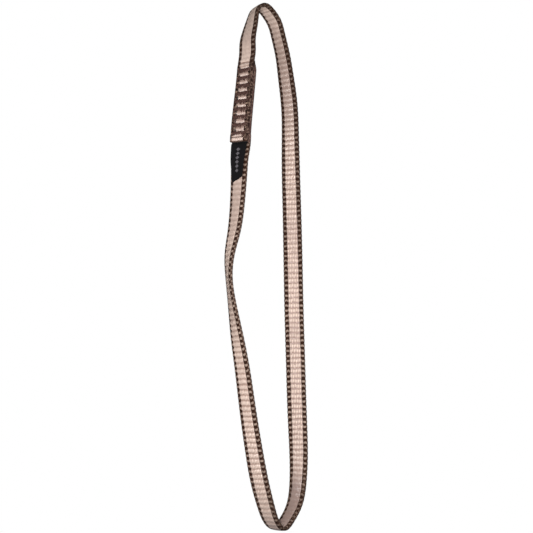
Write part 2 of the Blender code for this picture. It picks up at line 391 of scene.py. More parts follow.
# Evenly spaced points of the tape's middle from the top bend, with its width and outward directions.
# Width = the heading turned square to the run. Outward = width crossed with the run.
def makeRoute():
    side, forward, down, heading = np.array(loop["route"]).T
    corners = np.stack([side * loop["opening"], forward * loop["width"], -down * loop["height"]], axis=1)
    gaps = np.linalg.norm(np.roll(corners, -1, axis=0) - corners, axis=1)
    knots = np.concatenate([[0], np.cumsum(gaps)])
    rough = np.linspace(0, knots[-1], loop["samples"], endpoint=False)
    curve = closedSpline(knots, corners, rough)
    lengths = np.linalg.norm(np.diff(curve, axis=0, append=corners[:1]), axis=1)
    travelled = np.concatenate([[0], np.cumsum(lengths)])
    distance = np.linspace(0, travelled[-1], loop["samples"], endpoint=False)
    places = np.interp(distance, travelled, np.append(rough, knots[-1]))
    points = closedSpline(knots, corners, places)
    heading = np.radians(closedSpline(knots, heading, places))
    along = unit(np.roll(points, -1, axis=0) - np.roll(points, 1, axis=0))
    across = np.stack([np.sin(heading), np.cos(heading), np.zeros_like(heading)], axis=1)
    across = unit(across - (across * along).sum(axis=1, keepdims=True) * along)
    outward = np.cross(across, along)
    crown = int(np.argmax(points[:, 2]))
    points = points - (points[crown] - outward[crown] * loop["thickness"] / 2)
    turned = np.roll(np.arange(loop["samples"]), -crown)
    return {
        "length": travelled[-1],
        "distance": distance,
        "points": points[turned],
        "along": along[turned],
        "across": across[turned],
        "outward": outward[turned],
    }


route = makeRoute()
tackPlaces = tacks["first"] + tacks["pitch"] * np.arange(tacks["count"])
labelTop = tackPlaces[-1] + tacks["height"] / 2 + label["tackDistance"]
lapLength = labelTop + label["tuck"]
seamPlace = lapLength - label["seamMargin"]
tapeLength = route["length"] + lapLength
labelGap = label["thickness"] + 2 * loop["clearance"]


def readRoute(key, distance):
    table = route[key]
    columns = [np.interp(distance, route["distance"], table[:, i], period=route["length"]) for i in range(3)]
    return np.stack(columns, axis=-1)


# A smooth step from 0 to 1: 3v^2 - 2v^3
def ease(value):
    value = np.clip(value, 0, 1)
    return value * value * (3 - 2 * value)


# How thick a rounded end is: sqrt(1 - (1 - v)^2), v the share of its length, and no less than least
def roundEnd(share, least):
    return np.sqrt(np.clip(1 - (1 - np.clip(share, 0, 1)) ** 2, least, 1))


# Gap between the lap's layers: the clearance, easing to the label's room at the mouth
def layerGap(place):
    opening = ease((place - tackPlaces[-1]) / (labelTop - loop["clearance"] - tackPlaces[-1]))
    return loop["clearance"] + (labelGap - loop["clearance"]) * opening


# How far out of the route the tape's middle lies: half a lap outward or inward, eased away
def layerMiddle(place):
    lapped = (loop["thickness"] + layerGap(np.minimum(place, lapLength))) / 2
    leaving = 1 - ease((place - lapLength) / loop["lapBlend"])
    outerPlace = place - route["length"]
    joining = ease(outerPlace / loop["lapBlend"] + 1)
    outerLapped = (loop["thickness"] + layerGap(np.maximum(outerPlace, 0))) / 2
    return joining * outerLapped - leaving * lapped


# Route point + across times the width direction + outward times the outward direction
def tapePoint(place, across, outward):
    place, across, outward = np.broadcast_arrays(*np.atleast_1d(place, across, outward))
    distance = place + loop["lapBelowCrown"]
    return (
        readRoute("points", distance)
        + readRoute("across", distance) * across[..., None]
        + readRoute("outward", distance) * outward[..., None]
    )


# A closed body from a grid of points, rows along it and columns round it, with flat ends. The columns
# join up. A negative signed volume means that the faces point inwards, so they are turned. The faces
# in edgeColumns take the second material.
def meshFromGrid(name, grid, materials, floats=None, uv=None, edgeColumns=()):
    rows, columns = grid.shape[:2]
    first = np.arange(rows * columns).reshape(rows, columns)
    corner = first[:-1]
    after = first[1:]
    quads = np.stack([corner, np.roll(corner, -1, axis=1), np.roll(after, -1, axis=1), after], axis=-1)
    quads = quads.reshape(-1, 4)
    points = grid.reshape(-1, 3)
    centre = points.mean(axis=0)
    a, b, c, d = (points[quads[:, i]] - centre for i in range(4))
    volume = (np.cross(b - a, d - a) * (a + c)).sum()
    ends = [first[0][::-1], first[-1]]
    if volume < 0:
        quads = quads[:, ::-1]
        ends = [end[::-1] for end in ends]
    loops = np.concatenate([quads.reshape(-1), ends[0], ends[1]]).astype(np.int32)
    totals = np.concatenate([np.full(len(quads), 4), [columns, columns]]).astype(np.int32)
    starts = np.concatenate([[0], np.cumsum(totals)[:-1]]).astype(np.int32)
    mesh = bpy.data.meshes.new(name)
    mesh.vertices.add(len(points))
    mesh.vertices.foreach_set("co", points.astype(np.float32).reshape(-1))
    mesh.loops.add(len(loops))
    mesh.loops.foreach_set("vertex_index", loops)
    mesh.polygons.add(len(totals))
    mesh.polygons.foreach_set("loop_start", starts)
    mesh.polygons.foreach_set("loop_total", totals)
    mesh.update(calc_edges=True)
    mesh.shade_smooth()
    for key, values in (floats or {}).items():
        made = mesh.attributes.new(key, "FLOAT", "POINT")
        spread = np.broadcast_to(values, (rows, columns))
        made.data.foreach_set("value", spread.astype(np.float32).reshape(-1))
    if uv is not None:
        flat = np.stack(np.broadcast_arrays(*uv), axis=-1).reshape(-1, 2)
        mesh.uv_layers.new(name="surface").data.foreach_set("uv", flat[loops].astype(np.float32).reshape(-1))
    for each in materials:
        mesh.materials.append(each)
    slots = np.zeros(len(totals), np.int32)
    slots[:-2].reshape(rows - 1, columns)[:, list(edgeColumns)] = 1
    mesh.polygons.foreach_set("material_index", slots)
    mesh.validate()
    return addToScene(name, mesh)


# Fine filaments: noise drawn out along the yarn, as a height and a shade
fibre = {"detail": 3.0, "shade": (0.3, 0.7)}


def softNoise(tree, place, detail):
    inputs = {"Vector": place, "Scale": 1.0, "Detail": detail}
    return put(tree, "ShaderNodeTexNoise", inputs).outputs["Fac"]


def buildFibreGroup():
    group, given, wanted = newGroup("filaments", ["Along", "Round", "Stretch"], ["Height", "Shade"])
    along = calc(group, "DIVIDE", given["Along"], given["Stretch"])
    noise = softNoise(group, joinXyz(group, along, given["Round"]), fibre["detail"])
    group.links.new(noise, wanted["Height"])
    group.links.new(smoothBand(group, noise, *fibre["shade"]), wanted["Shade"])
    return group


filaments = buildFibreGroup()


def addFilaments(tree, axes, finish):
    fine = times(tree, axes["Y"], finish["fibreFineness"])
    inputs = {"Along": axes["X"], "Round": fine, "Stretch": finish["fibreStretch"]}
    return put(tree, "ShaderNodeGroup", inputs, node_tree=filaments).outputs


# The woven tape's shape and wear. Lengths without mm are millimetres on the surface.
tape = {
    "ribs": 214,  # round the loop
    "rowsPerRib": 9,
    "faceColumns": 16,
    "edgeColumns": 7,
    "ribHeight": 0.36 * mm,
    "edgeScallop": 0.14 * mm,
    "edgeFrom": 4.4 * mm,  # scallops take over from ribs this far from the middle
    "leastRelief": 0.1,  # share of their height left where they are worn flat
    # waves of the ribs: size as a share of a rib, then radians per mm across and per rib along
    "waver": [(0.012, 2.9, 0.9), (0.016, 1.1, -0.7)],
    "crown": 0.22,  # share of the half thickness lost between the middle and the edge
    "cup": 0.45 * mm,  # how far the near edge curls back at the waist, and the far edge forward
    "cupLength": 26 * mm,
    "borderFrom": 3.05,  # distance of the borders from the middle
    "borderLap": 0.2,  # how far their dull finish reaches in past them
    "lapEase": (3 * mm, 1 * mm),  # how far the lap's finish fades out above it and below it
    "lapScallop": 0.6,  # share of the scallops' height lost in the lap
    "rowEase": 1.2 * mm,  # the rows of tacks and pillows come and go over this length
    "touch": 0.12,  # how far the hidden faces between the layers swell in the rows
    "rowsEnd": 1.8 * mm,  # how far past the last tack they end
    "rowRibs": 0.85,  # share of the ribs' height lost in them
    "pillow": 0.22 * mm,
    "tackPress": 0.42 * mm,
    "pressFlat": 0.9,  # each tack presses the tape flat this far up and down, and ...
    "pressEase": 0.9,  # ... the tape swells up again over this length
    "pressReach": (4.0 * mm, 1.2 * mm),  # distance across within which it is pressed, and its fading
    "shadow": 0.85,  # how dark the pale middle is just below a tack
    "shadowReach": (0.25, 0.55),  # how far down it stays dark and then fades, as shares of the pitch
    "farInset": (0.5, 0.9),  # how far the far border reaches in at the first tack, and what the last adds
    "mouthFrom": (1.2 * mm, 1.0 * mm),  # past the last tack, where the mouth's pattern starts and eases in
    "mouthWiden": 0.12,  # there the pale middle is wider, and ...
    "mouthShift": 0.45,  # ... lies further from the near edge
    "seamReach": 0.45 * mm,
    "seamPress": 0.22,  # how deep the label's seam presses the tape
    "endPress": 0.85,  # share of the thickness lost at the inner end, which is sealed and pressed thin
    "endTaper": 6.0 * mm,
    "endReach": 4.2 * mm,  # how far the thin end lies up past the lap
    "endInset": 0.3 * mm,  # its middle stays at least this far inside the outward face
    "thinWidth": 0.12,  # share of the width that would go with all of the thickness
    "endRound": 0.5 * mm,  # both ends are rounded over this length
    "endLeast": 0.16,
    "endNarrow": 0.1,
    "sealReach": (0.2 * mm, 0.5 * mm),  # how far from the ends they are sealed, and how it fades
    "cordPoints": 130,
    # share of the way round the loop, how deep the ribs are, how much the weft shows in the borders, how
    # far their yarns are rubbed into a mottle, and how much painted shade darkens the middle
    "wear": [
        (0.00, 0.4, 0.6, 0.35, 0.1),
        (0.02, 0.2, 0.5, 0.3, 0.1),
        (0.035, 0.1, 0.5, 0.0, 0.2),
        (0.047, 0.1, 0.48, 0.0, 0.36),
        (0.058, 0.1, 0.45, 0.0, 0.15),
        (0.0665, 0.3, 0.3, 0.1, 0.0),
        (0.0685, 1.0, 0.3, 0.1, 0.0),
        (0.0725, 1.0, 0.3, 0.1, 0.0),
        (0.075, 0.5, 0.35, 0.3, 0.0),
        (0.13, 0.5, 0.6, 0.0, 0.2),
        (0.19, 0.45, 0.8, 0.0, 0.45),
        (0.22, 0.4, 0.9, 0.0, 0.3),
        (0.235, 0.4, 0.9, 0.0, 0.0),
        (0.31, 0.75, 1.0, 0.0, 0.0),
        (0.37, 0.85, 0.8, 0.0, 0.0),
        (0.44, 0.75, 0.8, 0.0, 0.1),
        (0.475, 0.55, 0.8, 0.4, 0.22),
        (0.49, 0.45, 0.75, 0.4, 0.5),
        (0.51, 0.4, 0.7, 0.4, 0.86),
        (0.545, 0.35, 0.7, 0.35, 0.86),
        (0.562, 0.8, 0.8, 0.1, 0.2),
        (0.60, 1.0, 1.0, 0.0, 0.0),
        (0.672, 1.0, 0.95, 0.0, 0.0),
        (0.686, 1.0, 0.95, 0.0, 0.2),
        (0.70, 1.0, 0.95, 0.0, 0.0),
        (0.72, 1.0, 0.9, 0.0, 0.0),
        (0.755, 1.0, 0.65, 0.0, 0.0),
        (0.77, 1.0, 0.55, 0.0, 0.12),
        (0.785, 1.0, 0.55, 0.0, 0.2),
        (0.797, 1.0, 0.55, 0.0, 0.0),
        (0.85, 1.0, 0.55, 0.0, 0.0),
        (0.87, 0.9, 0.55, 0.0, 0.05),
        (0.89, 0.75, 0.45, 0.0, 0.35),
        (0.91, 0.75, 0.4, 0.0, 0.45),
        (0.95, 0.7, 0.45, 0.0, 0.42),
        (0.98, 0.55, 0.6, 0.3, 0.2),
        (1.00, 0.4, 0.6, 0.35, 0.1),
    ],
}

# The tape's finish. A float is one yarn's run over one rib. A pair is where a smooth step is 0 and where
# it is 1, or the least and the most of a value, if no note says more. Lengths are millimetres on the tape.
weave = {
    "gloss": {"glossy woven middle": 0.7, "dull woven border": 0.1},
    "yarnWidth": 0.93,
    "yarnSeed": 7.0,
    "slip": 0.09,  # how far floats lie out of line, as a share of a rib
    "fibreFineness": 7.0,
    "fibreStretch": 1.8,
    "fibreShade": (0.90, 1.04),
    # the pale middle, with places along a float as shares of a rib
    "pale": (0.82, 0.655, 0.56),
    # painted shade in the grooves between the floats
    "grooveShade": (0.25, 0.158, 0.125),
    # painted shade: the colour the middle darkens towards where less light falls
    "paintedShadeColour": (0.23, 0.155, 0.135),
    "crestRise": (0.0, 0.40),
    "crestFall": (1.0, 0.68),
    "softCrest": (0.5, 0.05),  # a float under painted shade, halfway up and at its foot
    "softShade": 0.5,  # floats are softest from this much painted shade
    "pillowSmooth": 0.85,
    "yarnPower": 1.5,
    "floatShade": 0.82,
    "flatPaintedShade": 0.7,
    "pillowShade": 0.8,
    # the brown borders: a row of weft ovals, placed from the edge's tip, and a second row on the tip
    "brown": (0.034, 0.0125, 0.0065),
    "brownDark": (0.010, 0.004, 0.002),
    "brownYarn": 0.45,
    "brownFibre": 0.6,
    "weft": (0.345, 0.255, 0.205),
    "ovalLength": (0.27, 0.11),
    "ovalPlace": 1.65,
    "ovalWidth": (1.2, 0.5),
    "ovalShade": 0.65,
    "besideOvals": 0.12,
    "lean": 0.12,
    "leanWithin": 1.6,
    "tipRow": 0.6,
    "tipRowWithin": (0.75, 0.35),
    "sewnOvals": 0.12,  # share of the ovals that is left in the lap
    # the mottle of the lap and of rubbed borders
    "lapBrown": (0.070, 0.036, 0.031),
    "underLayer": (0.078, 0.041, 0.035),
    "speck": (0.20, 0.135, 0.098),
    "mottleScale": (0.75, 0.9),  # per mm along and round
    "mottleDetail": 1.0,
    "tickScale": (1.15, 1.3),  # ticks per mm along and round
    "tickSeed": 3.0,
    "tick": 0.09,
    "facePart": (0.7, 1.3),
    "specks": (0.55, 0.60),
    "specksOnEdge": 0.6,
    "blots": (0.52, 0.485),
    "blotsOnEdge": 0.8,
    # the line between middle and border
    "lineBulge": 0.06,
    "lineStray": 0.08,
    "lineSoftness": 0.12,
    "sealedShade": 0.85,
    "roughness": (0.30, 0.36),
    "borderRoughness": 0.5,
    "grooveHeight": 0.35,
    "fibreHeight": 0.35,
    "bumpStrength": 0.9,
    "bumpDepth": 0.17 * mm,
}


# The middle and the borders share one pattern. The middle's yarns shine, and the borders' are dull.
def buildTapeMaterial(name, gloss):
    made, tree, shader = newMaterial(name)
    phase, across, tip = (attribute(tree, key) for key in ("ribPhase", "acrossMm", "edgeMm"))
    relief, openness, rubbed = (attribute(tree, key) for key in ("relief", "openness", "rubbed"))
    pillow, shadow, sewn, sealed = (attribute(tree, key) for key in ("pillow", "shadow", "sewn", "sealed"))
    paintedShade, under = attribute(tree, "paintedShade"), attribute(tree, "under")
    axes = surfaceAxes(tree)
    ribNumber = calc(tree, "FLOOR", phase)
    yarnPlace = calc(tree, "DIVIDE", across, weave["yarnWidth"])
    yarnNumber = calc(tree, "FLOOR", yarnPlace)
    chance = chanceOf(tree, ribNumber, yarnNumber)
    yarnChance = chanceOf(tree, yarnNumber, weave["yarnSeed"])
    shifted = calc(tree, "ADD", phase, between(tree, chance, -weave["slip"], weave["slip"]))
    share = calc(tree, "FRACT", shifted)
    wave = calc(tree, "COSINE", times(tree, share, 2 * math.pi))
    filament = addFilaments(tree, axes, weave)
    # pale middle: bright floats of the warp yarns, with a line of painted shade where they dive under the
    # weft
    crest = smoothBand(tree, share, *weave["crestRise"])
    crest = times(tree, crest, smoothBand(tree, share, *weave["crestFall"]))
    # painted shade: where it lies, the floats' bright crests and dark lines are softened too
    soft = between(tree, wave, *weave["softCrest"])
    softness = calc(tree, "MINIMUM", paintedShade, weave["softShade"])
    softer = times(tree, calc(tree, "SUBTRACT", soft, crest), softness, 1 / weave["softShade"])
    crest = calc(tree, "ADD", crest, softer)
    # the painted groove shade fades where the ribs are worn flat
    crest = calc(tree, "ADD", times(tree, calc(tree, "SUBTRACT", crest, 1.0), relief), 1.0)
    smoothed = times(tree, pillow, weave["pillowSmooth"])
    crest = calc(tree, "MAXIMUM", crest, smoothed)
    ridge = calc(tree, "POWER", ridges(tree, yarnPlace), weave["yarnPower"])
    # painted shade in the gaps between yarns, deepest where the ribs are deep and on the pillows
    yarnGapShadeDepth = calc(tree, "MAXIMUM", times(tree, relief, relief), smoothed)
    yarnGapShade = calc(tree, "SUBTRACT", 1.0, times(tree, between(tree, ridge, 1.0, 0.0), yarnGapShadeDepth))
    bright = times(tree, crest, yarnGapShade, between(tree, chance, weave["floatShade"], 1.0))
    # painted shade: darker where the ribs are worn flat and below each tack, and the pillows are dimmed as
    # well
    bright = times(tree, bright, between(tree, relief, weave["flatPaintedShade"], 1.0), shadow)
    bright = times(tree, bright, between(tree, pillow, 1.0, weave["pillowShade"]))
    pale = mixColour(tree, bright, weave["grooveShade"], weave["pale"])
    # painted shade: the middle darkens at the top bend, the upper strands and the foot, where less light
    # falls
    pale = mixColour(tree, paintedShade, pale, weave["paintedShadeColour"])
    # borders: brown floats with ovals of weft between them, which all but go out towards both sides of
    # their row, and a fainter row on the edge's tip, half a rib further on
    lean = times(tree, smoothBand(tree, tip, weave["leanWithin"], 0.0), weave["lean"])
    along = calc(tree, "SUBTRACT", calc(tree, "FRACT", calc(tree, "ADD", shifted, lean)), 0.5)
    fromOval = calc(tree, "ABSOLUTE", along)
    aside = calc(tree, "ABSOLUTE", calc(tree, "SUBTRACT", tip, weave["ovalPlace"]))
    inRow = between(tree, smoothBand(tree, aside, *weave["ovalWidth"]), weave["besideOvals"], 1.0)
    ovals = times(tree, smoothBand(tree, fromOval, *weave["ovalLength"]), inRow)
    tipRow = smoothBand(tree, calc(tree, "SUBTRACT", 0.5, fromOval), *weave["ovalLength"])
    tipRow = times(tree, tipRow, smoothBand(tree, tip, *weave["tipRowWithin"]), weave["tipRow"])
    dots = times(tree, calc(tree, "MAXIMUM", ovals, tipRow), openness)
    dots = times(tree, dots, between(tree, chance, weave["ovalShade"], 1.0))
    dots = times(tree, dots, between(tree, sewn, 1.0, weave["sewnOvals"]))
    # the brown darkens between its yarns, painted shade, and varies at random with the filaments
    brownShade = between(tree, ridge, weave["brownYarn"], 1.0)
    brownShade = times(tree, brownShade, between(tree, filament["Shade"], weave["brownFibre"], 1.0))
    border = mixColour(tree, brownShade, weave["brownDark"], weave["brown"])
    border = mixColour(tree, dots, border, weave["weft"])
    # in the lap and where the edges are rubbed: a fine mottle of dark and tan yarn ends
    place = [times(tree, axes[key], scale) for key, scale in zip("XY", weave["mottleScale"])]
    mottle = softNoise(tree, joinXyz(tree, *place), weave["mottleDetail"])
    place = [times(tree, axes[key], scale) for key, scale in zip("XY", weave["tickScale"])]
    tick = chanceOf(tree, *(calc(tree, "FLOOR", value) for value in place), weave["tickSeed"])
    mottle = calc(tree, "ADD", mottle, between(tree, tick, -weave["tick"], weave["tick"]))
    ground = mixColour(tree, sewn, weave["brown"], weave["lapBrown"])
    onFace = smoothBand(tree, tip, *weave["facePart"])
    specks = smoothBand(tree, mottle, *weave["specks"])
    specks = times(tree, specks, between(tree, onFace, weave["specksOnEdge"], 1.0))
    mottled = mixColour(tree, specks, ground, weave["speck"])
    darkest = mixColour(tree, under, weave["brownDark"], weave["underLayer"])
    blots = smoothBand(tree, mottle, *weave["blots"])
    blots = times(tree, blots, between(tree, onFace, weave["blotsOnEdge"], 1.0))
    mottled = mixColour(tree, blots, mottled, darkest)
    border = mixColour(tree, calc(tree, "MAXIMUM", sewn, rubbed), border, mottled)
    # the line between them bulges over the middle at each brown float
    reach = calc(tree, "ADD", calc(tree, "ABSOLUTE", across), times(tree, wave, weave["lineBulge"]))
    reach = calc(tree, "ADD", reach, between(tree, chance, -weave["lineStray"], weave["lineStray"]))
    lineEnds = [tape["borderFrom"] + sign * weave["lineSoftness"] for sign in (-1, 1)]
    borderMask = smoothBand(tree, reach, *lineEnds)
    colour = mixColour(tree, borderMask, pale, border)
    colour = dim(tree, colour, between(tree, filament["Shade"], *weave["fibreShade"]))
    colour = mixColour(tree, times(tree, sealed, weave["sealedShade"]), colour, weave["brown"])
    roughness = between(tree, yarnChance, *weave["roughness"])
    roughness = calc(tree, "ADD", roughness, times(tree, borderMask, weave["borderRoughness"]))
    yarnHeight = times(tree, ridge, between(tree, crest, weave["grooveHeight"], 1.0))
    height = calc(tree, "ADD", yarnHeight, times(tree, filament["Height"], weave["fibreHeight"]))
    looks = {"Base Color": colour, "Roughness": roughness, "Normal": bumpNormal(tree, weave, height)}
    setInputs(tree, shader, {**looks, "Specular IOR Level": gloss})
    return made


# Columns round the tape: outer face, one rounded edge, inner face, the other edge. The faces fall by
# crown * (x / flat)^2 of the half thickness. Gives across and outward positions, their normals, the
# distance round, and the distance from the nearest edge's tip.
def tapeSection(crown):
    flat = loop["width"] / 2 - loop["edgeRound"]
    half = loop["thickness"] / 2
    side = half * (1 - crown)
    face = np.linspace(-flat, flat, tape["faceColumns"])
    fall = half * (1 - crown * (face / flat) ** 2)
    turn = np.linspace(math.pi / 2, -math.pi / 2, tape["edgeColumns"] + 2)[1:-1]
    edgeX, edgeY = flat + loop["edgeRound"] * np.cos(turn), side * np.sin(turn)
    x = np.concatenate([face, edgeX, face[::-1], -edgeX])
    y = np.concatenate([fall, edgeY, -fall[::-1], -edgeY])
    edgeNormal = unit(np.stack([np.cos(turn) / loop["edgeRound"], np.sin(turn) / side], axis=1))
    faceNormal = unit(np.stack([2 * crown * half * face / flat**2, np.ones_like(face)], axis=1))
    normal = np.concatenate([faceNormal, edgeNormal, faceNormal[::-1] * [1, -1], -edgeNormal])
    steps = np.hypot(np.diff(x, append=x[0]), np.diff(y, append=y[0]))
    travelled = np.concatenate([[0], np.cumsum(steps)[:-1]])
    tipAt = travelled[len(face) + tape["edgeColumns"] // 2]
    halfRound = steps.sum() / 2
    fromTip = np.abs((travelled - tipAt + halfRound / 2) % halfRound - halfRound / 2)
    return x, y, normal, travelled, fromTip


# Section carried along the tape, pushed out and in by -cos(2 pi f) / 2 of the rib height, f the share
# of a rib, pressed in flat at each bar tack, and swelling a little between tacks
def buildTape(materials):
    x, crowned, normal, travelled, fromTip = tapeSection(tape["crown"])
    flatY = tapeSection(0)[1]
    pitch = route["length"] / tape["ribs"]
    rows = int(tapeLength / pitch * tape["rowsPerRib"])
    place = np.linspace(-tape["endReach"], tapeLength, rows)[:, None]
    acrossMm = x[None, :] / mm
    waver = 0
    for size, acrossRate, alongRate in tape["waver"]:
        waver = waver + size * np.sin(acrossMm * acrossRate + alongRate * place / pitch)
    phase = place / pitch + waver
    rib = 0.5 - 0.5 * np.cos(2 * math.pi * phase)
    shares, *wear = np.array(tape["wear"]).T
    share = (place + loop["lapBelowCrown"]) / route["length"] % 1
    relief, openness, rubbed, paintedShade = (np.interp(share, shares, values) for values in wear)
    # where the lap is, and which of its faces are sewn. lapPlace counts down from the inner end on both.
    onOuterLayer = place > route["length"] - tacks["pitch"] / 2
    lapPlace = np.where(onOuterLayer, place - route["length"], place)
    outerFace = (crowned > 0)[None, :]
    sewnFace = np.where(onOuterLayer, outerFace, ~outerFace & (place < lapLength))
    inRows = ease((lapPlace + tape["rowEase"]) / tape["rowEase"])
    inRows = inRows * ease((tackPlaces[-1] + tape["rowsEnd"] - lapPlace) / tape["rowEase"])
    above, below = tape["lapEase"]
    inLap = ease((lapPlace + above) / above) * ease((lapLength + below - lapPlace) / below)
    nearest = np.abs(lapPlace[..., None] - tackPlaces).min(axis=-1)
    press = 1 - ease((nearest - tape["pressFlat"] * mm) / (tape["pressEase"] * mm))
    pillow = sewnFace * inRows
    # the pattern: shadows below the tacks, and borders that shift in the rows and at the mouth
    dark, fading = tape["shadowReach"]
    rowShare = ((lapPlace - tacks["first"]) / tacks["pitch"]) % 1
    shadow = 1 - pillow * tape["shadow"] * (1 - ease((rowShare - dark) / fading))
    inset = tape["farInset"][0] + tape["farInset"][1] * np.clip(lapPlace / lapLength, 0, 1)
    acrossMm = acrossMm + pillow * inset * ease((acrossMm + tape["borderFrom"]) / (2 * tape["borderFrom"]))
    start, easing = tape["mouthFrom"]
    mouth = sewnFace * ease((lapPlace - tackPlaces[-1] - start) / easing) * inLap
    acrossMm = acrossMm * (1 - tape["mouthWiden"] * mouth) - mouth * tape["mouthShift"]
    # the relief: ribs and scallops, pillows and presses, swollen inner faces and the label's seam
    reach, easing = tape["pressReach"]
    inReach = 1 - ease((np.abs(x) - reach) / easing)[None, :]
    onEdge = (np.abs(x) > tape["edgeFrom"])[None, :]
    height = np.where(onEdge, tape["edgeScallop"], tape["ribHeight"]) * (rib - 0.5)
    height = height * (tape["leastRelief"] + (1 - tape["leastRelief"]) * relief)
    height = height * (1 - tape["rowRibs"] * pillow) * (1 - tape["lapScallop"] * inLap * onEdge)
    height = height + pillow * inReach * (tape["pillow"] - (tape["tackPress"] + tape["pillow"]) * press)
    touching = np.where(onOuterLayer, ~outerFace, outerFace & (place < lapLength)) * inRows
    height = height + touching * tape["touch"] * mm
    fromSeam = (lapPlace - seamPlace) / tape["seamReach"]
    height = height - sewnFace * np.exp(-(fromSeam**2)) * tape["seamPress"] * mm * inReach
    # the ends: both rounded off, and the inner one pressed thin against the outer layer
    fromEnd = place + tape["endReach"]
    fromNearEnd = np.minimum(fromEnd, tapeLength - place)
    rounding = roundEnd(fromNearEnd / tape["endRound"], tape["endLeast"])
    thin = tape["endPress"] * (1 - ease(fromEnd / tape["endTaper"]))
    endWidth = 1 - tape["endNarrow"] + tape["endNarrow"] * rounding
    across = (x[None, :] + normal[None, :, 0] * height) * endWidth * (1 - tape["thinWidth"] * thin)
    y = crowned[None, :] * (1 - inLap) + flatY[None, :] * inLap
    outward = (y + normal[None, :, 1] * height) * rounding * (1 - thin) + layerMiddle(place)
    outward = outward + thin * (loop["thickness"] / 2 - tape["endInset"])
    waist = route["distance"][int(np.argmin(route["points"][:, 0]))] - loop["lapBelowCrown"]
    cup = tape["cup"] * np.exp(-(((place - waist) / tape["cupLength"]) ** 2))
    outward = outward - cup * (x[None, :] / (loop["width"] / 2)) ** 2 * np.where(x < 0, 1, -1)
    grid = tapePoint(np.broadcast_to(place, across.shape), across, outward)
    sealed, fading = tape["sealReach"]
    floats = {
        "ribPhase": phase,
        "acrossMm": acrossMm,
        "edgeMm": fromTip[None, :] / mm,
        "pillow": pillow,
        "shadow": shadow,
        "relief": relief,
        "sewn": inLap,
        "openness": openness,
        "rubbed": rubbed,
        "paintedShade": paintedShade,
        "under": inLap * (place < lapLength),
        "sealed": ease(1 - (fromNearEnd - sealed) / fading),
    }
    edge = np.minimum(np.abs(x), np.abs(np.roll(x, -1))) / mm > tape["borderFrom"] - tape["borderLap"]
    around = (place / mm, travelled[None, :] / mm)
    piece = meshFromGrid("wovenTape", grid, materials, floats, around, np.flatnonzero(edge))
    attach(piece, "loop")
    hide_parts("webbing")
    middle = np.linspace(0, tapeLength, tape["cordPoints"])
    path = tapePoint(middle, 0, layerMiddle(middle))
    print("tape woven:", rows, "rows,", round(tapeLength, 4), "m")


# Catmull-Rom curve through points: each span is a cubic whose end slopes join the points' neighbours
def smoothPath(points, steps):
    padded = np.concatenate([[2 * points[0] - points[1]], points, [2 * points[-1] - points[-2]]])
    t = np.linspace(0, 1, steps, endpoint=False)[None, :, None]
    p0, p1, p2, p3 = (padded[i : len(points) - 1 + i][:, None, :] for i in range(4))
    bend = (2 * p0 - 5 * p1 + 4 * p2 - p3) * t**2 + (3 * p1 - p0 - 3 * p2 + p3) * t**3
    spans = 0.5 * (2 * p1 + (p2 - p0) * t + bend)
    return np.concatenate([spans.reshape(-1, 3), points[-1:]])


# Circles square to the path. The first circle's direction is carried along without turning.
def threadTube(name, path, radius, material):
    sides = tacks["sides"]
    tangent = unit(np.gradient(path, axis=0))
    side = np.cross(tangent[0], tacks["askew"])
    carried = []
    for direction in tangent:
        side = side - direction * (side @ direction)
        side = side / np.linalg.norm(side)
        carried.append(side)
    carried = np.array(carried)
    third = np.cross(tangent, carried)
    turn = np.arange(sides) / sides * 2 * math.pi
    rings = carried[:, None] * np.cos(turn)[:, None] + third[:, None] * np.sin(turn)[:, None]
    grid = path[:, None] + rings * radius
    travelled = np.concatenate([[0], np.cumsum(np.linalg.norm(np.diff(path, axis=0), axis=1))])
    uv = (travelled[:, None] / mm, np.arange(sides)[None, :] / sides)
    return meshFromGrid(name, grid, [material], uv=uv)


# The thread's finish: plies slant round it, with filaments along them
thread = {
    "colour": (0.066, 0.028, 0.021),
    "pliesPerMm": 1.6,
    "pliesRound": 3.0,
    "plyShade": 0.45,
    "fibreFineness": 20.0,
    "fibreStretch": 0.5,
    "fibreShade": (0.7, 1.3),
    "darkest": 0.35,
    "bumpStrength": 0.8,
    "bumpDepth": 0.06 * mm,
    "roughness": (0.55, 0.75),
    "gloss": 0.35,
}


def buildThreadMaterial():
    made, tree, shader = newMaterial("brown polyester thread")
    axes = surfaceAxes(tree)
    slant = times(tree, axes["X"], thread["pliesPerMm"])
    ply = ridges(tree, calc(tree, "ADD", slant, times(tree, axes["Y"], thread["pliesRound"])))
    filament = addFilaments(tree, axes, thread)
    # painted shade in the grooves between the plies, and a random tone from the filaments
    shade = between(tree, ply, thread["plyShade"], 1.0)
    shade = times(tree, shade, between(tree, filament["Shade"], *thread["fibreShade"]))
    colour = dim(tree, thread["colour"], between(tree, shade, thread["darkest"], 1.0))
    roughness = between(tree, filament["Height"], *thread["roughness"])
    looks = {"Base Color": colour, "Roughness": roughness, "Normal": bumpNormal(tree, thread, ply)}
    setInputs(tree, shader, {**looks, "Specular IOR Level": thread["gloss"]})
    return made


